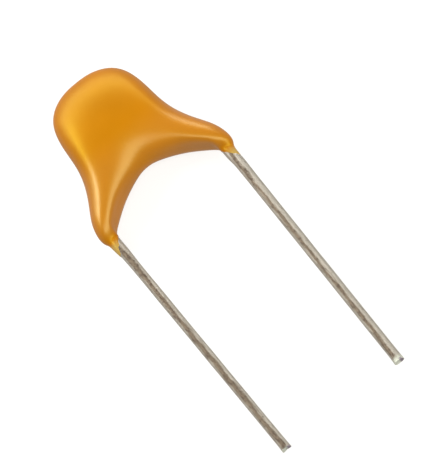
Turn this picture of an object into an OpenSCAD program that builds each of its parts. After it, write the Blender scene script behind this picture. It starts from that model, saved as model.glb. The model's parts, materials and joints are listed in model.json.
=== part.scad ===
// Radial dipped ceramic capacitor: a chip of ceramic and metal plates, soldered between two wires
// and dipped in resin, with the wires spread to a wider pitch inside the coating.
// Drawn with X across the leads, +Y towards the head and +Z out of the front face,
// then laid on its back as it rests: on the belly of the coating and the two lead tips.

/* [Leads] */
// Distance between the straight leads, centre to centre
lead_pitch = 5.08; // [5:0.01:5.16]
// Diameter of the tinned wire
wire_d = 0.4; // [0.38:0.01:0.42]
// Length of bare lead below the coating
lead_length = 10.23; // [4:0.01:25]
// Centre-line radius of both bends in each lead
bend_r = 0.6; // [0.45:0.05:0.8]
// Height above the coating's end where a lead leaves its straight line
kink_y = 0.35; // [0.35:0.05:0.45]
// Slope of the spread stretch, from upright
slope_turn = 28; // [28:1:30]
// Height where a lead ends beside the chip
lead_top_y = 4.4; // [4.2:0.05:4.45]

/* [Chip] */
// Length of the ceramic, from one end cap to the other
chip_l = 2; // [1.9:0.05:2.05]
// Height of the ceramic, along the leads
chip_h = 1.9; // [1.7:0.05:1.95]
// Thickness of the ceramic
chip_t = 1.2; // [1:0.05:1.25]
// Height of the chip's middle above the coating's end
chip_y = 3.95; // [3.9:0.05:4]
// Thickness of the metal end caps
cap_t = 0.05; // [0.03:0.01:0.06]
// Reach of an end cap over the sides of the ceramic
cap_reach = 0.35; // [0.25:0.05:0.5]
// Number of metal plates in the ceramic
plate_count = 12; // [6:2:16]
// Thickness of one plate
plate_t = 0.02; // [0.01:0.005:0.03]
// Ceramic beyond the first and last plate, and beside every plate
plate_margin = 0.16; // [0.12:0.01:0.2]
// Gap between a plate's free end and the far end cap
plate_gap = 0.25; // [0.2:0.01:0.4]

/* [Solder] */
// Solder between a lead and its end cap
solder_gap = 0.02; // [0.01:0.01:0.03]
// Thickness of solder around a lead
solder_wrap = 0.05; // [0.04:0.01:0.06]
// Height where the solder begins
solder_low_y = 3.25; // [3.2:0.05:3.4]
// Solder beyond the end of a lead
solder_over = 0.1; // [0.06:0.01:0.15]
// Width of the solder where it wets the end cap
solder_foot = 0.8; // [0.7:0.05:0.9]

/* [Coating outline] */
// Width of the head
head_w = 3.75; // [3.68:0.01:3.78]
// Height of the head above the coating's end
head_top_y = 5.84; // [5.7:0.005:5.85]
// Sideways lean of the head's top
head_lean = 0.12; // [0:0.02:0.14]
// Drop from the head's top to its rounded corners
corner_drop = 0.45; // [0.4:0.01:0.48]
// Drop from the head's top to where its sides run straight
side_drop = 1.54; // [1.4:0.02:1.6]
// Height where the sides of the head begin to flare
neck_y = 3.05; // [3:0.01:3.15]
// Half width halfway down the flare
flare_x = 2.35; // [2.3:0.01:2.4]
// Height halfway down the flare
flare_y = 1.92; // [1.88:0.01:1.98]
// Height where the flare turns into a shoulder
flare_end_y = 1.21; // [1.16:0.01:1.25]
// Bulge of a shoulder beyond the lead's centre line
shoulder_out = 0.44; // [0.42:0.01:0.48]
// Height of the shoulders
shoulder_y = 0.42; // [0.4:0.01:0.45]
// Height of the arch between the arms
arch_y = 1.68; // [1.64:0.01:1.72]
// Half width of the arch where it meets the arms
arch_x = 2.04; // [1.98:0.01:2.08]
// Height where an arm's inner side runs straight
arch_foot_y = 0.51; // [0.47:0.01:0.53]

/* [Coating thickness] */
// Thickness of the head, front to back
head_t = 2.3; // [2.25:0.05:2.5]
// Thickness of the edge over the arch
web_t = 1.7; // [1.55:0.05:1.8]
// Resin around a lead where the coating ends
end_wall = 0.03; // [0.025:0.005:0.05]
// Squareness of the edge over the arch, where 2 is an ellipse
arch_squareness = 2.6; // [2.4:0.1:3]
// Squareness of the head's rim
head_squareness = 2.2; // [2.1:0.1:2.5]
// Squareness of the arms' outer edge
arm_squareness = 2.1; // [2:0.1:2.3]

/* [Hidden] */

resin_colour = [0.86, 0.55, 0.08];
ceramic_colour = [0.72, 0.62, 0.48];
plate_colour = [0.55, 0.55, 0.57];
cap_colour = [0.78, 0.78, 0.8];
solder_colour = [0.66, 0.67, 0.68];
tin_colour = [0.7, 0.67, 0.6];

left = -1;
right = 1;
wire_r = wire_d / 2;
lead_x = lead_pitch / 2;
round_fn = 48;
solder_fn = 24;

chip_end_x = chip_l / 2 + cap_t;
clasp_x = chip_end_x + solder_gap + wire_r;
spread_x = lead_x - clasp_x;
rings = 20;
ring_points = 20;

// The slope carries the lead out to its pitch, and sets where it runs straight again beside the chip
slope_run = (spread_x - 2 * bend_r * (1 - cos(slope_turn))) / sin(slope_turn);
clasp_y = kink_y + 2 * bend_r * sin(slope_turn) + slope_run * cos(slope_turn);

function plate_name(i) = str("electrode_plate_", i < 10 ? "0" : "", i);

// ---- outline of the coating: points of two smooth curves, from the middle out to the right arm ----
head_half = head_w / 2;
end_r = wire_r + end_wall;
shoulder_x = lead_x + shoulder_out;
arm_end_y = 0.2;
// Slant of the flare's end, and bulge of an arm's inner side
shoulder_slant = 0.14;
arm_bulge = 0.03;
// Ends of the flat crown and of its corners, as shares of the head's half width
crown_share = 0.37;
corner_share = 0.85;
// Flat top, bend and side of the arch, as shares of its half width and height
arch_flat_share = 0.19;
arch_bend_share = 0.71;
arch_bend_rise = 0.745;
arch_side_rise = 0.46;
outer_curve = [
    [0, head_top_y],
    [crown_share * head_half, head_top_y],
    [corner_share * head_half, head_top_y - corner_drop],
    [head_half, head_top_y - side_drop],
    [head_half, neck_y],
    [flare_x, flare_y],
    [shoulder_x - shoulder_slant, flare_end_y],
    [shoulder_x, shoulder_y],
    [lead_x + end_r, arm_end_y],
    [lead_x + end_r, 0]
];
inner_curve = [
    [0, arch_y],
    [arch_flat_share * arch_x, arch_y],
    [arch_bend_share * arch_x, arch_bend_rise * arch_y],
    [arch_x, arch_side_rise * arch_y],
    [lead_x - end_r + arm_bulge, arch_foot_y],
    [lead_x - end_r, arm_end_y / 2],
    [lead_x - end_r, 0]
];

// A curve that crosses the middle square on and ends exactly at its last point
function with_ends(p) = concat([[-p[1].x, p[1].y]], p, [2 * p[len(p) - 1] - p[len(p) - 2]]);
function blend(p, i, f) =
    ((1 - f) ^ 3 * p[i] + (3 * f ^ 3 - 6 * f ^ 2 + 4) * p[i + 1]
    + (-3 * f ^ 3 + 3 * f ^ 2 + 3 * f + 1) * p[i + 2] + f ^ 3 * p[i + 3]) / 6;
function along(p, t) =
    let (spans = len(p) - 3, at = t * spans, i = min(floor(at), spans - 1)) blend(p, i, at - i);
function ease(x) = let (c = max(0, min(1, x))) c * c * (3 - 2 * c);
function signed_power(x, e) = sign(x) * abs(x) ^ e;

// ---- section of the coating at s, from 0 in the middle to 1 at the end of an arm ----
// How fast it thickens from the arch outwards, and how late it thins along an arm
filling = 0.6;
taper = 1.4;
// Share of s over which the rim goes from the head's squareness to the arms'
head_share = 0.3;
// How far the sections fan out, so that their outer ends run ahead of their inner ones
fan = 0.35;
// Share of s by which a section is wholly an arm's, and how far an arm's crest slides towards the arch
arm_share = 0.5;
slide = 0.4;
// Height where the coating begins to lean
lean_from_y = 0.37;

// Thickness at q, from 0 on the arch to 1 on the outside
function thickness(s, q) =
    let (middle = web_t + (head_t - web_t) * (1 - ease(s / arm_share)) * q ^ filling)
    middle + (2 * end_r - middle) * ease(s ^ taper);
function squareness(s, angle) =
    let (rim = head_squareness + (arm_squareness - head_squareness) * ease(s / head_share))
    let (own = cos(angle) > 0 ? rim : arch_squareness)
    own + (2 - own) * s ^ 5;
function lean(y) = head_lean * max(0, (y - lean_from_y) / (head_top_y - lean_from_y));
function skin_point(s, angle, side) =
    let (
        e = 2 / squareness(s, angle),
        q = (1 + signed_power(cos(angle), e)) / 2,
        inner = along(with_ends(inner_curve), s),
        outer = along(with_ends(outer_curve), s + fan * s * (1 - s ^ 2)),
        flat = inner + (outer - inner) * q ^ (1 + slide * ease(s / arm_share))
    )
    [side * flat.x - lean(flat.y), flat.y, signed_power(sin(angle), e) * thickness(s, q) / 2];
skin = [
    for (k = [-rings:rings]) [
        for (j = [0:ring_points - 1])
            skin_point(abs(k) / rings, 360 * j / ring_points, k < 0 ? left : right)
    ]
];
skin_points = [for (ring = skin) each ring];

// ---- how it lies: the belly and both lead tips touch the ground ----
rest_tilt = max([for (p = skin_points) atan2(-wire_r - p.z, p.y + lead_length)]);
rest_z = lead_length * sin(rest_tilt) + wire_r * cos(rest_tilt);
tip_y = -lead_length * cos(rest_tilt) - wire_r * sin(rest_tilt);
crown_y = max([for (p = skin_points) p.y * cos(rest_tilt) - p.z * sin(rest_tilt)]);
rest_y = -(tip_y + crown_y) / 2;

module lie_down() {
    translate([0, rest_y, rest_z]) rotate([rest_tilt, 0, 0]) children();
}

module skin_solid() {
    last = len(skin) - 1;
    function at(k, j) = k * ring_points + j % ring_points;
    sides = [
        for (k = [0:last - 1]) for (j = [0:ring_points - 1])
            each [
                [at(k, j), at(k + 1, j), at(k, j + 1)],
                [at(k + 1, j), at(k + 1, j + 1), at(k, j + 1)]
            ]
    ];
    left_end = [for (j = [0:ring_points - 1]) at(0, j)];
    right_end = [for (j = [ring_points - 1:-1:0]) at(last, j)];
    polyhedron(points = skin_points, faces = concat(sides, [left_end, right_end]), convexity = 6);
}

module wire_run(length) {
    cylinder(r = wire_r, h = length, $fn = round_fn);
}

// A bend that starts upright at the origin and turns towards -X
module wire_bend() {
    translate([-bend_r, 0, 0]) rotate([90, 0, 0]) rotate_extrude(angle = slope_turn, $fn = round_fn)
        translate([bend_r, 0]) circle(r = wire_r, $fn = round_fn);
}

// Carries on from the far end of a bend that turned by the given angle, towards -X if positive
module past_bend(turn) {
    centre_x = turn > 0 ? -bend_r : bend_r;
    translate([centre_x, 0, 0]) rotate([0, -turn, 0]) translate([-centre_x, 0, 0]) children();
}

// The right lead, upright: straight run, first bend, slope, second bend, run beside the chip
module upright_wire() {
    wire_run(lead_length + kink_y);
    translate([0, 0, lead_length + kink_y]) {
        wire_bend();
        past_bend(slope_turn) {
            wire_run(slope_run);
            translate([0, 0, slope_run]) {
                mirror([1, 0, 0]) wire_bend();
                past_bend(-slope_turn) wire_run(lead_top_y - clasp_y);
            }
        }
    }
}

module wire(side) {
    mirror([side == left ? 1 : 0, 0, 0])
        translate([lead_x, -lead_length, 0]) rotate([-90, 0, 0]) upright_wire();
}

module centred_block(x, y, z) {
    translate([-x / 2, -y / 2, -z / 2]) cube([x, y, z]);
}

module chip_block() {
    translate([0, chip_y, 0]) centred_block(chip_l, chip_h, chip_t);
}

// Plate i is fused to one end cap, left for odd numbers and right for even ones
plate_l = chip_l - plate_gap;
plate_h = chip_h - 2 * plate_margin;
plate_step = (chip_t - 2 * plate_margin - plate_t) / (plate_count - 1);
module plate(i) {
    side = i % 2 == 1 ? left : right;
    z = -chip_t / 2 + plate_margin + plate_t / 2 + (i - 1) * plate_step;
    translate([side * plate_gap / 2, chip_y, z]) centred_block(plate_l, plate_h, plate_t);
}

module cap_block(side) {
    cap_l = cap_reach + cap_t;
    translate([side * (chip_end_x - cap_l / 2), chip_y, 0])
        centred_block(cap_l, chip_h + 2 * cap_t, chip_t + 2 * cap_t);
}

// Solder fills between the lead and the cap and covers the lead's end
foot_t = 0.01;
module solder_block(side) {
    height = lead_top_y + solder_over - solder_low_y;
    hull() {
        translate([side * clasp_x, solder_low_y, 0]) rotate([-90, 0, 0])
            cylinder(r = wire_r + solder_wrap, h = height, $fn = solder_fn);
        translate([side * (chip_end_x + foot_t / 2), solder_low_y + height / 2, 0])
            centred_block(foot_t, height, solder_foot);
    }
}

// ---- one module for each piece ----
module coating() {
    color(resin_colour) lie_down() difference() {
        skin_solid();
        chip_block();
        for (side = [left, right]) {
            cap_block(side);
            solder_block(side);
            wire(side);
        }
    }
}

module ceramic_chip() {
    color(ceramic_colour) lie_down() difference() {
        chip_block();
        for (i = [1:plate_count]) plate(i);
    }
}

module electrode_plate(i) {
    color(plate_colour) lie_down() plate(i);
}

module termination(side) {
    color(cap_colour) lie_down() difference() {
        cap_block(side);
        chip_block();
    }
}

module solder(side) {
    color(solder_colour) lie_down() difference() {
        solder_block(side);
        cap_block(side);
        wire(side);
    }
}

module lead(side) {
    color(tin_colour) lie_down() wire(side);
}

module termination_left() { termination(left); }
module termination_right() { termination(right); }
module solder_left() { solder(left); }
module solder_right() { solder(right); }
module lead_left() { lead(left); }
module lead_right() { lead(right); }

coating();
ceramic_chip();
termination_left();
termination_right();
solder_left();
solder_right();
lead_left();
lead_right();
for (i = [1:plate_count]) electrode_plate(i);
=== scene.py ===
"""A resin-dipped ceramic capacitor: the finish of every piece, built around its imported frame."""

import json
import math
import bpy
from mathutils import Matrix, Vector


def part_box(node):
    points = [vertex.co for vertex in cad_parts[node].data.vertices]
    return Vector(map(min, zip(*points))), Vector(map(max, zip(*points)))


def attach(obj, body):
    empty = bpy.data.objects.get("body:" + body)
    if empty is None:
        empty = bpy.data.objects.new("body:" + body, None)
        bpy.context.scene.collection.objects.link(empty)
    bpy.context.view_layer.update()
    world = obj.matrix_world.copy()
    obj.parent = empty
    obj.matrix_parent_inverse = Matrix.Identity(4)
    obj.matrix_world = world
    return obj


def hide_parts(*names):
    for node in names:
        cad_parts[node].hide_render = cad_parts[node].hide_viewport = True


bl_info = {
    "name": "Dipped Ceramic Capacitor",
    "version": (1, 0, 0),
    "blender": (4, 5, 0),
    "location": "View3D > Sidebar > Capacitor",
    "description": "Models the dipped coating and tinned leads of a ceramic capacitor",
    "category": "Object",
}

import bmesh
import bpy
from bpy.props import FloatProperty, FloatVectorProperty, IntProperty, PointerProperty
from mathutils import Matrix, Vector, noise

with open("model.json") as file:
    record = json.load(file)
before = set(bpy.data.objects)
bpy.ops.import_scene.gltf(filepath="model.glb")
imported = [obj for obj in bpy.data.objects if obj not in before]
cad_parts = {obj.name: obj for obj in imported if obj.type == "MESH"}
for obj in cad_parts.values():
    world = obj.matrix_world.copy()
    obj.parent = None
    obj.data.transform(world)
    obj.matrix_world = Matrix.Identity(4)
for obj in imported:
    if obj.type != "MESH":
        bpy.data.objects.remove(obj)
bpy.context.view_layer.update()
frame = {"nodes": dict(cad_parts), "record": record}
RECORD = frame["record"]
BODY = "root"
MM = 0.001
LEFT = -1
RIGHT = 1
SIDES = {"left": LEFT, "right": RIGHT}


# ---- the drawing frame: X across the leads, Y towards the head, Z out of the front face ----


def lead_mount():
    """The right lead's pin mount, which says where the leads lie."""
    return next(m for m in RECORD["mounts"] if m["name"] == "lead_pin_right")


def drawing_frame():
    """Turns the drawing frame, whose origin is the middle of the coating's end, to where the part lies."""
    mount = lead_mount()
    down = Vector(mount["axis"]).normalized()
    middle = Vector(mount["pos_m"])
    origin = middle - down * mount["dims"]["length_mm"] * MM / 2
    origin.x = 0
    across = Vector((1, 0, 0))
    up = -down
    out = across.cross(up)
    turn = Matrix((across, up, out)).transposed().to_4x4()
    return Matrix.Translation(origin) @ turn


LYING = drawing_frame()
LEAD_X = lead_mount()["pos_m"][0]
LEAD_LENGTH = lead_mount()["dims"]["length_mm"] * MM
WIRE_R = lead_mount()["dims"]["r_mm"] * MM
# where the right lead runs beside the chip, and how far up it goes
CHIP_SIDE_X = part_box("lead_right")[0][0] + WIRE_R
LEAD_TOP = (LYING.inverted() @ Vector(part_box("lead_right")[1])).y


# ---- settings ----


class CoatingSettings(bpy.types.PropertyGroup):
    """Size and colour of the dipped coating"""

    head_width: FloatProperty(
        name="Head width", description="Width of the rounded head", default=3.75 * MM, unit="LENGTH"
    )
    head_top: FloatProperty(
        name="Head height",
        description="Top of the head above the coating's end",
        default=5.84 * MM,
        unit="LENGTH",
    )
    head_thickness: FloatProperty(
        name="Head thickness",
        description="Front to back through the head",
        default=2.3 * MM,
        unit="LENGTH",
    )
    web_thickness: FloatProperty(
        name="Edge thickness",
        description="Front to back at the edge over the arch",
        default=1.7 * MM,
        unit="LENGTH",
    )
    arch_height: FloatProperty(
        name="Arch height",
        description="Height of the arch between the arms",
        default=1.68 * MM,
        unit="LENGTH",
    )
    lean: FloatProperty(
        name="Lean",
        description="How far the top of the head leans to the left",
        default=0.12 * MM,
        unit="LENGTH",
    )
    colour: FloatVectorProperty(
        name="Colour",
        description="Colour of the resin",
        default=(0.335, 0.104, 0.0),
        subtype="COLOR",
        min=0,
        max=1,
    )


class LeadSettings(bpy.types.PropertyGroup):
    """Finish of the tinned leads"""

    colour: FloatVectorProperty(
        name="Colour",
        description="Colour of the tinned wire",
        default=(0.385, 0.347, 0.285),
        subtype="COLOR",
        min=0,
        max=1,
    )
    round_steps: IntProperty(name="Round steps", description="Sides of the wire", default=32, min=12)
    left_short: FloatProperty(
        name="Left shorter",
        description="How much shorter the left lead is cut",
        default=0.1 * MM,
        unit="LENGTH",
    )
    notch: FloatProperty(
        name="Notch",
        description="Depth of the notch that the cutter left",
        default=0.07 * MM,
        unit="LENGTH",
    )


class StageSettings(bpy.types.PropertyGroup):
    """Camera and light"""

    slant: FloatProperty(
        name="Slant",
        description="Turn of the view from square on, towards the leads",
        default=math.radians(25),
        subtype="ANGLE",
    )
    roll: FloatProperty(
        name="Roll",
        description="Turn of the camera about its view",
        default=math.radians(39.1),
        subtype="ANGLE",
    )
    distance: FloatProperty(
        name="Distance", description="Camera to the part", default=250 * MM, unit="LENGTH"
    )
    view_height: FloatProperty(
        name="View height",
        description="How much the view takes in, top to bottom",
        default=16.446 * MM,
        unit="LENGTH",
    )


# ---- shader maths ----


class Value:
    """A node's output that works in Python sums: each operator adds its Math node."""

    def __init__(self, graph, socket):
        self.graph = graph
        self.socket = socket

    def maths(self, operation, *values):
        """A Math node on these values."""
        return self.graph.add("Math", {"operation": operation}, dict(enumerate(values)))

    def __abs__(self):
        return self.maths("ABSOLUTE", self)

    def __add__(self, other):
        return self.maths("ADD", self, other)

    def __radd__(self, other):
        return self.maths("ADD", other, self)

    def __sub__(self, other):
        return self.maths("SUBTRACT", self, other)

    def __rsub__(self, other):
        return self.maths("SUBTRACT", other, self)

    def __mul__(self, other):
        return self.maths("MULTIPLY", self, other)

    def __rmul__(self, other):
        return self.maths("MULTIPLY", other, self)

    def __pow__(self, other):
        return self.maths("POWER", self, other)


class Graph:
    """A material's nodes, added by type."""

    def __init__(self, name):
        self.material = bpy.data.materials.new(name)
        self.material.use_nodes = True
        self.tree = self.material.node_tree
        self.shader = self.tree.nodes["Principled BSDF"]

    def plug(self, socket, value):
        """Sets a socket, or links it to a Value."""
        if isinstance(value, Value):
            self.tree.links.new(value.socket, socket)
        elif isinstance(value, tuple) and socket.type == "RGBA" and len(value) == 3:
            socket.default_value = (*value, 1)
        else:
            socket.default_value = value

    def add(self, kind, settings=None, inputs=None, output=0):
        """Adds a node of this kind, with its settings first and then its sockets, and gives one output."""
        node = self.tree.nodes.new("ShaderNode" + kind)
        for key, setting in (settings or {}).items():
            setattr(node, key, setting)
        for key, value in (inputs or {}).items():
            self.plug(node.inputs[key], value)
        return Value(self, node.outputs[output])

    def set(self, **sockets):
        """Sets sockets of the shader, named with underscores for spaces."""
        for key, value in sockets.items():
            self.plug(self.shader.inputs[key.replace("_", " ")], value)

    def mix(self, factor, first, second):
        """A mix of two colours."""
        return self.add("Mix", {"data_type": "RGBA"}, {0: factor, 6: first, 7: second}, 2)

    def place(self, stretch=(1, 1, 1)):
        """Object coordinates in millimetres of the drawing frame, divided by stretch."""
        point = self.add("TexCoord", output="Object")
        settings = {"vector_type": "TEXTURE"}
        inputs = {
            "Vector": point,
            "Location": tuple(LYING.translation),
            "Rotation": tuple(LYING.to_euler()),
            "Scale": tuple(MM * s for s in stretch),
        }
        return self.add("Mapping", settings, inputs)

    def noise(self, point, scale, detail=3, roughness=0.5):
        """A noise field on a point in millimetres."""
        inputs = {"Vector": point, "Scale": scale, "Detail": detail, "Roughness": roughness}
        return self.add("TexNoise", None, inputs)

    def fade(self, value, low, high):
        """0 at low and 1 at high, smooth between and held beyond them. Low may be the larger."""
        settings = {"interpolation_type": "SMOOTHSTEP", "clamp": True}
        return self.add("MapRange", settings, {0: value, 1: low, 2: high, 3: 0, 4: 1})

    def part(self, point, axis):
        """One coordinate of a point."""
        return self.add("SeparateXYZ", None, {0: point}, axis)

    def bump(self, height, depth, strength):
        """A normal from a height between 0 and 1 that stands for depth in millimetres."""
        return self.add("Bump", None, {"Strength": strength, "Distance": depth * MM, "Height": height})


# the resin runs out on the wire as a thin tan film: heights in mm where it starts to turn and where it has
TAN = (0.33, 0.2, 0.055)
TAN_STARTS, TAN_FULL = 0.3, -0.02
# it is glossiest on the faces of the arms: the heights over which that ends, and the distances from the
# middle plane over which it begins, in mm
GLOSS = 0.5
GLOSS_ENDS = (2.0, 3.2)
GLOSS_BEGINS = (0.15, 0.5)


def resin_material(colour):
    """Glossy dipped resin: deep orange, a little uneven, with a faint orange peel."""
    g = Graph("orange_resin")
    point = g.place()
    cloud = g.noise(point, 0.5, 2)
    pale = tinted(colour, (1.05, 1.05, 1.05))
    deep = tinted(colour, (0.94, 0.94, 0.94))
    height = g.part(point, 1)
    thin = g.fade(height + 0.25 * g.noise(point, 4.0, 3), TAN_STARTS, TAN_FULL)
    arm = 1 - g.fade(height, *GLOSS_ENDS)
    face = g.fade(abs(g.part(point, 2)), *GLOSS_BEGINS)
    g.set(
        Base_Color=g.mix(thin, g.mix(g.fade(cloud, 0.3, 0.75), deep, pale), TAN),
        Roughness=0.36 + 0.08 * g.noise(point, 2.5, 2),
        IOR=1.5,
        Specular_IOR_Level=0.85,
        Specular_Tint=(1.0, 0.85, 0.04, 1.0),
        Coat_Weight=GLOSS * arm * face,
        Coat_Roughness=0.28,
        Normal=g.bump(g.noise(point, 3.5, 2), 0.004, 0.6),
    )
    return g.material


# a wire's brown band, mottled tarnish with painted shade, laid down the wire's darker side, in mm from the
# wire's
# middle: the start and end of its first edge, then the place of its second edge and how wide that is
SHADE_AND_TARNISH_BEGINS = (-0.15, -0.06)
SHADE_AND_TARNISH_ENDS = {LEFT: 0.1, RIGHT: 0.06}
SHADE_AND_TARNISH_FADE = 0.08
# how far streaks and the slower wander push the band, and how far it lies off the middle, in mm
STREAK_PUSH, WANDER_PUSH, SHADE_AND_TARNISH_SHIFT = 0.22, 0.13, -0.175
# shares of the wire's colour for the band of tarnish and painted shade, and for the freckles
SHADE_AND_TARNISH_SHARES = (0.35, 0.29, 0.225)
SPOT_SHARES = (0.2, 0.15, 0.12)
# the cut end: fresh metal, the painted shade on the darker side of its face, and how far up the wire the
# cutter bared it, in mm
FRESH_METAL = (0.55, 0.56, 0.46)
PAINTED_FACE_SHADE = (0.24, 0.2, 0.22)
FRESH_REACH = {LEFT: 0.1, RIGHT: 0.25}


def tinted(colour, shares):
    """A colour with each channel multiplied by its share."""
    return tuple(min(1, channel * share) for channel, share in zip(colour, shares))


def tin_material(colour, side, tip):
    """Dull tinned wire: streaks, freckles, a wandering brown band of tarnished metal and painted shade down
    one side, and a paler cut end at height tip, half of it painted shade.
    """
    g = Graph(f"tinned_wire_{'left' if side == LEFT else 'right'}")
    point = g.place()
    streak = g.noise(g.place((0.12, 1.6, 0.12)), 1.6, 5, 0.65)
    freckle = g.noise(g.place((0.1, 0.18, 0.1)), 1.1, 4, 0.7)
    wander = g.noise(point, 1.1, 3, 0.6)
    x, y, z = (g.part(point, axis) for axis in range(3))
    drift = (STRAY_AT_TIP[side] - STRAY_AT_COATING[side]) / (LEAD_LENGTH / MM)
    offset = x - side * LEAD_X / MM - STRAY_AT_COATING[side] + drift * y

    # the brown band: mottled tarnish with painted shade, laid down one side of the wire where shade falls
    across = offset + STREAK_PUSH * streak + WANDER_PUSH * wander + SHADE_AND_TARNISH_SHIFT
    shade_and_tarnish_end = SHADE_AND_TARNISH_ENDS[side]
    tarnish_and_shade = g.fade(across, *SHADE_AND_TARNISH_BEGINS) * g.fade(across, shade_and_tarnish_end, shade_and_tarnish_end - SHADE_AND_TARNISH_FADE)
    # freckles, denser and stronger inside the band of tarnish and painted shade
    spots = g.fade(freckle + 0.06 * tarnish_and_shade, 0.54, 0.66) * (0.35 + 0.65 * tarnish_and_shade)
    shade = g.mix(tarnish_and_shade, colour, tinted(colour, SHADE_AND_TARNISH_SHARES))
    shade = g.mix(spots, shade, tinted(colour, SPOT_SHARES))

    above_tip = y - tip / MM + 0.1 * freckle - 0.05
    bared = FRESH_REACH[side]
    shade = g.mix(0.8 * g.fade(above_tip, bared, 0.4 * bared), shade, FRESH_METAL)
    # the cut face: fresh metal on one half and painted shade on the other
    face = g.fade(offset * offset + z**2, 0.035, 0.028) * g.fade(above_tip, 0.1, 0.05)
    shade = g.mix(face, shade, g.mix(g.fade(offset, 0.0, 0.08), FRESH_METAL, PAINTED_FACE_SHADE))
    g.set(
        Base_Color=shade,
        Metallic=0.65 - 0.1 * tarnish_and_shade,
        Roughness=0.38 + 0.2 * streak,
        Normal=g.bump(0.5 * streak + 0.5 * freckle, 0.035, 0.9),
    )
    return g.material


def ceramic_material():
    """Fired brown ceramic with a fine grain and a few darker specks."""
    g = Graph("chip_ceramic")
    point = g.place()
    grain = g.noise(point, 9, 4, 0.6)
    speck = g.fade(g.noise(point, 26, 2, 0.5), 0.62, 0.7)
    body = g.mix(grain, (0.2, 0.13, 0.06), (0.34, 0.24, 0.12))
    g.set(
        Base_Color=g.mix(speck, body, (0.1, 0.06, 0.03)),
        Roughness=0.5 + 0.2 * grain,
        Normal=g.bump(grain, 0.01, 0.5),
    )
    return g.material


def metal_material(name, colour, grain_size, roughness, rise):
    """Metal with a grain: bright and dull crystals of this size in millimetres, over a faint tarnish."""
    g = Graph(name)
    point = g.place()
    crystal = g.add("TexVoronoi", {"feature": "F1"}, {"Vector": point, "Scale": 1 / grain_size}, 1)
    shade = g.part(crystal, 0)
    tarnish_and_shade = g.fade(g.noise(point, 3, 4, 0.6), 0.45, 0.75)
    g.set(
        Base_Color=g.mix(0.5 * tarnish_and_shade + 0.3 * shade, colour, tinted(colour, (0.7, 0.7, 0.7))),
        Metallic=0.95,
        Roughness=roughness + 0.15 * shade + 0.1 * tarnish_and_shade,
        Normal=g.bump(shade, rise, 0.5),
    )
    return g.material


# ---- curves of the coating's outline ----


def blend_four(points, index, part):
    """A point on the cubic B-spline's span that starts at index."""
    weights = (
        (1 - part) ** 3,
        3 * part**3 - 6 * part**2 + 4,
        -3 * part**3 + 3 * part**2 + 3 * part + 1,
        part**3,
    )
    return sum((w / 6 * points[index + k] for k, w in enumerate(weights)), Vector((0, 0)))


def along(points, share):
    """A point on a smooth curve that crosses the middle square on and ends at its last point."""
    full = [Vector((-points[1].x, points[1].y)), *points, 2 * points[-1] - points[-2]]
    spans = len(full) - 3
    at = share * spans
    index = min(int(at), spans - 1)
    return blend_four(full, index, at - index)


def ease(x):
    """A smooth rise from 0 to 1."""
    x = min(1, max(0, x))
    return x * x * (3 - 2 * x)


def signed_power(x, power):
    """A power that keeps the sign."""
    return math.copysign(abs(x) ** power, x)


# the outer outline, from the crown to an arm's end: shares of the head's half width, drops from its top, and
# places on the flare and the shoulder
CROWN_SHARE, CORNER_SHARE = 0.37, 0.85
CORNER_DROP, SIDE_DROP = 0.45 * MM, 1.54 * MM
NECK_Y = 3.05 * MM
FLARE_X, FLARE_Y = 2.35 * MM, 1.92 * MM
FLARE_END_Y, SHOULDER_SLANT = 1.21 * MM, 0.14 * MM
SHOULDER_OUT, SHOULDER_Y = 0.44 * MM, 0.42 * MM
# the inner outline: half width of the arch, shares of it and of its height, and an arm's inner side
ARCH_X = 2.04 * MM
ARCH_FLAT_SHARE, ARCH_BEND_SHARE = 0.19, 0.71
ARCH_BEND_RISE, ARCH_SIDE_RISE = 0.745, 0.46
ARCH_FOOT_Y, ARM_BULGE = 0.51 * MM, 0.03 * MM
# height where an arm's sides run straight, resin around a lead there, and how much fuller the outer side ends
ARM_END_Y = 0.2 * MM
END_WALL = 0.03 * MM
FULLER, FULLER_AT_END = 0.04 * MM, 0.02 * MM
# how fast the thickness grows from the arch to the rim, and falls along an arm
FILLING = 0.6
TAPER = 1.4
# corners of a section: 2 is an ellipse, more is boxier, less is leaner
ARCH_SQUARENESS = 2.6
HEAD_SQUARENESS = 2.2
ARM_SQUARENESS = 2.1
HEAD_SHARE = 0.3
# how far the sections fan out ahead of the middle
FAN = 0.35
# share of the way out by which a section is an arm's, and how far an arm's crest slides towards the arch
ARM_SHARE = 0.5
SLIDE = 0.4
# share of the inner curve that is cut away, because the resin ends higher on an arm's inner side, and the
# share of the way out where that begins
INNER_CUT = 0.245
CUT_BEGINS = 0.55
# height where the coating begins to lean
LEAN_FROM = 0.37 * MM
# the film on the wire: its least reach, how much further it runs on the outer side, how ragged its edge is,
# and how much thicker it is on the outer side
FILM_LEAST = 0.06 * MM
FILM_REACH = {LEFT: 0.44 * MM, RIGHT: 0.32 * MM}
FILM_RAGGED = 0.1 * MM
FILM_OUTWARDS = 0.8


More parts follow.
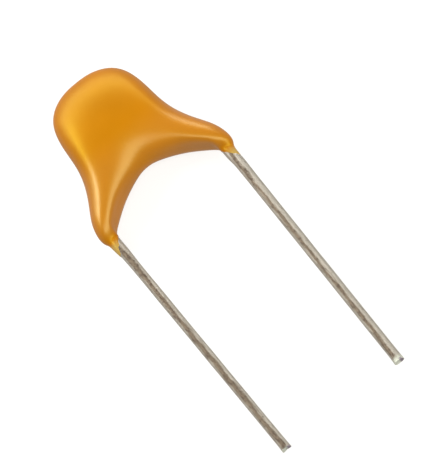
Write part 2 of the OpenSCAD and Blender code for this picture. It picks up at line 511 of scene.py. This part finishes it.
class CoatingShape:
    """The coating's outline and thickness, worked out from its settings."""

    def __init__(self, settings):
        half = settings.head_width / 2
        top = settings.head_top
        arch = settings.arch_height
        end = WIRE_R + END_WALL
        shoulder = LEAD_X + SHOULDER_OUT
        self.settings = settings
        self.end = end
        outer = (
            (0, top),
            (CROWN_SHARE * half, top),
            (CORNER_SHARE * half, top - CORNER_DROP),
            (half, top - SIDE_DROP),
            (half, NECK_Y),
            (FLARE_X, FLARE_Y),
            (shoulder - SHOULDER_SLANT, FLARE_END_Y),
            (shoulder, SHOULDER_Y),
            (LEAD_X + end + FULLER, ARM_END_Y),
            (LEAD_X + end + FULLER_AT_END, 0),
        )
        inner = (
            (0, arch),
            (ARCH_FLAT_SHARE * ARCH_X, arch),
            (ARCH_BEND_SHARE * ARCH_X, ARCH_BEND_RISE * arch),
            (ARCH_X, ARCH_SIDE_RISE * arch),
            (LEAD_X - end + ARM_BULGE, ARCH_FOOT_Y),
            (LEAD_X - end, ARM_END_Y / 2),
            (LEAD_X - end, 0),
        )
        self.outer = [Vector(p) for p in outer]
        self.inner = [Vector(p) for p in inner]

    def thickness(self, s, q):
        """Front to back at s, from the middle to an arm's end, and q, from the arch to the outside."""
        web = self.settings.web_thickness
        growth = (self.settings.head_thickness - web) * (1 - ease(s / ARM_SHARE))
        middle = web + growth * max(0, q) ** FILLING
        return middle + (2 * self.end - middle) * ease(s**TAPER)

    def point(self, s, angle, side):
        """A point of the skin."""
        squareness = ARCH_SQUARENESS
        if math.cos(angle) > 0:
            squareness = HEAD_SQUARENESS + (ARM_SQUARENESS - HEAD_SQUARENESS) * ease(s / HEAD_SHARE)
        power = 2 / (squareness + (2 - squareness) * s**5)
        q = (1 + signed_power(math.cos(angle), power)) / 2
        inner = along(self.inner, s * (1 - INNER_CUT * ease((s - CUT_BEGINS) / (1 - CUT_BEGINS))))
        outer = along(self.outer, s + FAN * s * (1 - s * s))
        slide = SLIDE * ease(s / ARM_SHARE) * (1 - s**8)
        flat = inner.lerp(outer, max(0, q) ** (1 + slide))
        rise = signed_power(math.sin(angle), power) * self.thickness(s, q) / 2
        lean = self.settings.lean * max(0, (flat.y - LEAN_FROM) / (self.settings.head_top - LEAN_FROM))
        return Vector((side * flat.x - lean, flat.y, rise))

    def film(self, part, spread, angle, side):
        """A point of the thin film that runs down the wire: part goes from 0 to 1 at its ragged edge."""
        ragged = noise.noise(Vector((2.2 * math.cos(angle), 2.2 * math.sin(angle), 5 * side)))
        outwards = (1 + math.cos(angle)) / 2
        reach = FILM_LEAST + FILM_REACH[side] * outwards**0.7 + FILM_RAGGED * ragged
        y = self.point(1, angle, side).y - reach * part
        centre = lead_centre(side, y)
        radius = WIRE_R * (1 + (spread - 1) * (1 + FILM_OUTWARDS * outwards))
        return centre + radius * Vector((side * math.cos(angle), 0, math.sin(angle)))


# ---- the leads' route and section ----

# how far the leads stray rightwards from their mounts' lines at the coating and at the tips, in mm
STRAY_AT_COATING = {LEFT: 0.012, RIGHT: 0.052}
STRAY_AT_TIP = {LEFT: 0.135, RIGHT: -0.045}
STRAY_BEGINS = 0.5 * MM
# height where a lead turns in towards the chip, and how much higher it runs straight beside it
KINK_Y = 0.35 * MM
SLOPE_RISE = 2.68 * MM


def lead_centre(side, y):
    """The middle of a lead at height y: straight below the coating, then in towards the chip."""
    inwards = ease((y - KINK_Y) / SLOPE_RISE)
    x = side * (LEAD_X + (CHIP_SIDE_X - LEAD_X) * inwards)
    down = max(0, -y / LEAD_LENGTH)
    stray = STRAY_AT_COATING[side] + (STRAY_AT_TIP[side] - STRAY_AT_COATING[side]) * down
    return Vector((x + stray * MM * ease(-y / STRAY_BEGINS), y, 0))


# ---- building pieces ----

SMOOTH_LEVELS = 1


def finish_piece(bm, name, material, replaced):
    """Lays the drawn mesh down where the part lies and makes it a riding piece."""
    bmesh.ops.transform(bm, matrix=LYING, verts=bm.verts)
    bmesh.ops.recalc_face_normals(bm, faces=bm.faces)
    for face in bm.faces:
        face.smooth = True
    mesh = bpy.data.meshes.new(name)
    bm.to_mesh(mesh)
    bm.free()
    piece = bpy.data.objects.new(name, mesh)
    bpy.context.scene.collection.objects.link(piece)
    mesh.materials.append(material)
    smooth = piece.modifiers.new("Smooth", "SUBSURF")
    smooth.levels = SMOOTH_LEVELS
    smooth.render_levels = SMOOTH_LEVELS
    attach(piece, BODY)
    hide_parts(replaced)


RINGS = 40
RING_POINTS = 36
# steps of the film at an arm's end: how far along it, and its size in wire radii
FILM = ((0.3, 1.11), (0.7, 1.06), (1.0, 1.02), (1.02, 0.85))


def add_ring(bm, points, place):
    """A ring of points, put where the function says for each angle, as its edges in a fixed order."""
    made = bmesh.ops.create_circle(bm, segments=points, radius=1)["verts"]
    for vert in made:
        vert.co = place(math.atan2(vert.co.y, vert.co.x))
    return list(dict.fromkeys(edge for vert in made for edge in vert.link_edges))


def skin_rings(bm, rings):
    """Joins each ring to the next and closes both ends."""
    for first, second in zip(rings, rings[1:]):
        bmesh.ops.bridge_loops(bm, edges=first + second)
    for ring in (rings[0], rings[-1]):
        bmesh.ops.edgeloop_fill(bm, edges=ring)


class CAPACITOR_OT_coating(bpy.types.Operator):
    """Model the dipped coating: a thick rounded head that flares into two arms, ragged where they end"""

    bl_idname = "capacitor.coating"
    bl_label = "Coating"

    def execute(self, context):
        settings = context.scene.capacitor_coating
        shape = CoatingShape(settings)
        bm = bmesh.new()
        left_film = [lambda a, f=f: shape.film(*f, a, LEFT) for f in reversed(FILM)]
        left_half = [lambda a, k=k: shape.point(k / RINGS, a, LEFT) for k in range(RINGS, 0, -1)]
        right_half = [lambda a, k=k: shape.point(k / RINGS, a, RIGHT) for k in range(RINGS + 1)]
        right_film = [lambda a, f=f: shape.film(*f, a, RIGHT) for f in FILM]
        places = left_film + left_half + right_half + right_film
        skin_rings(bm, [add_ring(bm, RING_POINTS, place) for place in places])
        finish_piece(bm, "dipped_coating", resin_material(tuple(settings.colour)), "coating")
        return {"FINISHED"}


# the cut tip from its middle outwards: distance above the tip in mm, and size in wire radii
TIP = ((0.035, 0.3), (0.03, 0.7), (0.012, 0.88), (0.0, 0.95), (0.012, 0.995), (0.04, 1.0), (0.09, 1.0))
# even steps up the rest of a lead, and where above the tip they begin
LEAD_STEPS = 60
STEPS_BEGIN = 0.2 * MM
# how far up the cutter squeezed a lead, and how much wider and thinner that made it
NIP_REACH = 0.3 * MM
NIP_WIDER, NIP_THINNER = 0.08, 0.16
NOTCH_SHARE = {LEFT: 1.0, RIGHT: 0.35}
# how uneven a lead is, and how much slimmer it gets below the coating: the left one over this reach, the
# right one evenly down to its tip
UNEVEN = 0.03
SLIMMER = {LEFT: 0.13, RIGHT: 0.08}
SLIM_REACH = 1.2 * MM
# the right lead is wider just below the coating: how much, how far down and how far up that fades
COLLAR = 0.06
COLLAR_DOWN, COLLAR_UP = 1.4 * MM, 0.2 * MM


class LeadShape:
    """One tinned lead's route and section, from its cut tip to its end beside the chip."""

    def __init__(self, settings, side):
        self.side = side
        self.tip = -LEAD_LENGTH + (settings.left_short if side == LEFT else 0)
        self.notch = settings.notch * NOTCH_SHARE[side]

    def steps(self):
        """Height and size of each ring, from the middle of the cut face upwards."""
        first = self.tip + STEPS_BEGIN
        rise = (LEAD_TOP - first) / LEAD_STEPS
        straight = [(first + rise * k, 1.0) for k in range(LEAD_STEPS + 1)]
        return [(self.tip + lift * MM, size) for lift, size in TIP] + straight

    def point(self, y, size, angle):
        """A point of the skin at height y, on a ring of this size."""
        nip = ease(1 - (y - self.tip) / NIP_REACH)
        wave = noise.noise(Vector((9 * self.side, 0.9 * y / MM, 1.3 * math.cos(angle))))
        below = ease(-y / SLIM_REACH) if self.side == LEFT else -y / LEAD_LENGTH
        swell = (1 + UNEVEN * wave * (1 - nip)) * (1 - SLIMMER[self.side] * below)
        wide, thick = 1 + NIP_WIDER * nip, 1 - NIP_THINNER * nip
        if self.side == RIGHT:
            wide += COLLAR * ease(1 + y / COLLAR_DOWN) * ease(1 - y / COLLAR_UP)
        nudge = 0.01 * MM
        way = (lead_centre(self.side, y + nudge) - lead_centre(self.side, y - nudge)).normalized()
        across = Vector((way.y, -way.x, 0))
        out = Vector((0, 0, 1))
        flat = wide * math.cos(angle) * across + thick * math.sin(angle) * out
        cut = self.notch * nip * (1 - abs(math.cos(angle)) * size)
        return lead_centre(self.side, y) + swell * size * WIRE_R * flat + Vector((0, cut, 0))


class CAPACITOR_OT_leads(bpy.types.Operator):
    """Model the two tinned leads, with their cut tips"""

    bl_idname = "capacitor.leads"
    bl_label = "Leads"

    def execute(self, context):
        settings = context.scene.capacitor_leads
        for name, side in SIDES.items():
            shape = LeadShape(settings, side)
            bm = bmesh.new()
            places = [lambda a, step=step: shape.point(*step, a) for step in shape.steps()]
            skin_rings(bm, [add_ring(bm, settings.round_steps, place) for place in places])
            material = tin_material(tuple(settings.colour), side, shape.tip)
            finish_piece(bm, f"tinned_lead_{name}", material, f"lead_{name}")
        return {"FINISHED"}


class CAPACITOR_OT_chip(bpy.types.Operator):
    """Finish the pieces sealed in the resin: the ceramic, its end caps, its plates and the solder"""

    bl_idname = "capacitor.chip"
    bl_label = "Chip"

    def execute(self, context):
        finishes = {
            "ceramic_chip": ceramic_material(),
            "termination": metal_material("end_cap_silver", (0.66, 0.65, 0.62), 0.04, 0.35, 0.004),
            "solder": metal_material("solder", (0.55, 0.55, 0.55), 0.12, 0.22, 0.006),
            "electrode_plate": metal_material("plate_metal", (0.42, 0.4, 0.37), 0.03, 0.4, 0.002),
        }
        for name, node in frame["nodes"].items():
            for start, material in finishes.items():
                if name.startswith(start):
                    for slot in node.material_slots:
                        slot.material = material
        return {"FINISHED"}


FLOOR_COLOUR = (0.2, 0.2, 0.195)
FLOOR_GLOW = (1.0, 0.99, 0.97)
FLOOR_GLOW_STRENGTH = 0.79
ROOM_STRENGTH = 0.5
# what the camera looks at, in the drawing frame, and the middle of the lamps
LOOK_AT = Vector((0.1975, -2.018, -0.02)) * MM
LAMPS_AROUND = Vector((0, 2, 0)) * MM
LAMP_DISTANCE = 200 * MM
# each lamp: its way from the part, rightwards, upwards and towards the camera; its width's way, rightwards
# and upwards; width and height in mm; brightness
LAMPS = {
    "strip": ((0.36, 0.05, 0.93), (0.95, 0.3), 420, 110, 4.2),
    "side": ((-0.86, 0.25, 0.44), (0.3, 1), 50, 70, 14),
    "back": ((-0.6, 0.8, 0.1), (1, 0.6), 420, 120, 4.2),
}
SENSOR = 24


def view_axes(slant, roll):
    """The camera's right, up and backward ways in the drawing frame."""
    towards = Vector((0, -math.sin(slant), math.cos(slant)))
    climb = Vector((0, math.cos(slant), math.sin(slant)))
    across = Vector((1, 0, 0))
    right = math.cos(roll) * across - math.sin(roll) * climb
    upward = math.sin(roll) * across + math.cos(roll) * climb
    return right, upward, towards


def facing(right, upward, towards):
    """The turn that lays an object's X, Y and Z along three ways."""
    return Matrix((right, upward, towards)).transposed().to_4x4()


def add_floor(context):
    """A pale floor that gives off a little light and isn't seen in the part's gloss."""
    bm = bmesh.new()
    bmesh.ops.create_grid(bm, x_segments=1, y_segments=1, size=1.0)
    mesh = bpy.data.meshes.new("floor")
    bm.to_mesh(mesh)
    bm.free()
    floor = bpy.data.objects.new("floor", mesh)
    context.scene.collection.objects.link(floor)
    g = Graph("pale_floor")
    g.set(
        Base_Color=FLOOR_COLOUR,
        Roughness=0.9,
        Emission_Color=FLOOR_GLOW,
        Emission_Strength=FLOOR_GLOW_STRENGTH,
    )
    mesh.materials.append(g.material)
    floor.visible_glossy = False


def add_room(context):
    """Even white light from all sides."""
    world = bpy.data.worlds.new("soft_room")
    world.use_nodes = True
    background = world.node_tree.nodes["Background"]
    background.inputs["Color"].default_value = (1, 1, 1, 1)
    background.inputs["Strength"].default_value = ROOM_STRENGTH
    context.scene.world = world


def add_lamp(context, axes, name, aim, lie, width, height, brightness):
    """A soft rectangular lamp that faces the part."""
    light = bpy.data.lights.new(name, "AREA")
    light.shape = "RECTANGLE"
    light.size, light.size_y = width * MM, height * MM
    light.energy = brightness * math.pi * light.size * light.size_y
    lamp = bpy.data.objects.new(name, light)
    way = sum((share * axis for share, axis in zip(aim, axes)), Vector()).normalized()
    wide = sum((share * axis for share, axis in zip(lie, axes)), Vector())
    wide = (wide - wide.dot(way) * way).normalized()
    spot = Matrix.Translation(LAMPS_AROUND + LAMP_DISTANCE * way)
    lamp.matrix_world = LYING @ spot @ facing(wide, way.cross(wide), way)
    context.scene.collection.objects.link(lamp)


def add_camera(context, axes, distance, view_height):
    """A long lens that takes in the view's height at the part."""
    camera_data = bpy.data.cameras.new("camera")
    camera = bpy.data.objects.new("camera", camera_data)
    context.scene.collection.objects.link(camera)
    spot = Matrix.Translation(LOOK_AT + distance * axes[2])
    camera.matrix_world = LYING @ spot @ facing(*axes)
    camera_data.sensor_fit = "VERTICAL"
    camera_data.sensor_height = SENSOR
    camera_data.lens = SENSOR * distance / view_height
    camera_data.clip_start = 10 * MM
    camera_data.clip_end = 10
    context.scene.camera = camera


class CAPACITOR_OT_stage(bpy.types.Operator):
    """Set the floor, the lights and the camera"""

    bl_idname = "capacitor.stage"
    bl_label = "Stage"

    def execute(self, context):
        settings = context.scene.capacitor_stage
        axes = view_axes(settings.slant, settings.roll)
        add_floor(context)
        add_room(context)
        for name, lamp in LAMPS.items():
            add_lamp(context, axes, name, *lamp)
        add_camera(context, axes, settings.distance, settings.view_height)
        context.scene.view_settings.view_transform = "Standard"
        return {"FINISHED"}


class CAPACITOR_PT_panel(bpy.types.Panel):
    """Sidebar panel"""

    bl_idname = "CAPACITOR_PT_panel"
    bl_label = "Capacitor"
    bl_space_type = "VIEW_3D"
    bl_region_type = "UI"
    bl_category = "Capacitor"

    def draw(self, context):
        for kind in OPERATORS:
            self.layout.operator(kind.bl_idname)


OPERATORS = (CAPACITOR_OT_coating, CAPACITOR_OT_leads, CAPACITOR_OT_chip, CAPACITOR_OT_stage)
SETTINGS = (CoatingSettings, LeadSettings, StageSettings)


def register():
    for kind in (*SETTINGS, *OPERATORS, CAPACITOR_PT_panel):
        bpy.utils.register_class(kind)
    bpy.types.Scene.capacitor_coating = PointerProperty(type=CoatingSettings)
    bpy.types.Scene.capacitor_leads = PointerProperty(type=LeadSettings)
    bpy.types.Scene.capacitor_stage = PointerProperty(type=StageSettings)


def unregister():
    for name in ("capacitor_coating", "capacitor_leads", "capacitor_stage"):
        delattr(bpy.types.Scene, name)
    for kind in (CAPACITOR_PT_panel, *OPERATORS, *SETTINGS):
        bpy.utils.unregister_class(kind)


def main():
    register()
    bpy.ops.capacitor.coating()
    bpy.ops.capacitor.leads()
    bpy.ops.capacitor.chip()
    bpy.ops.capacitor.stage()


if __name__ == "__main__":
    main()
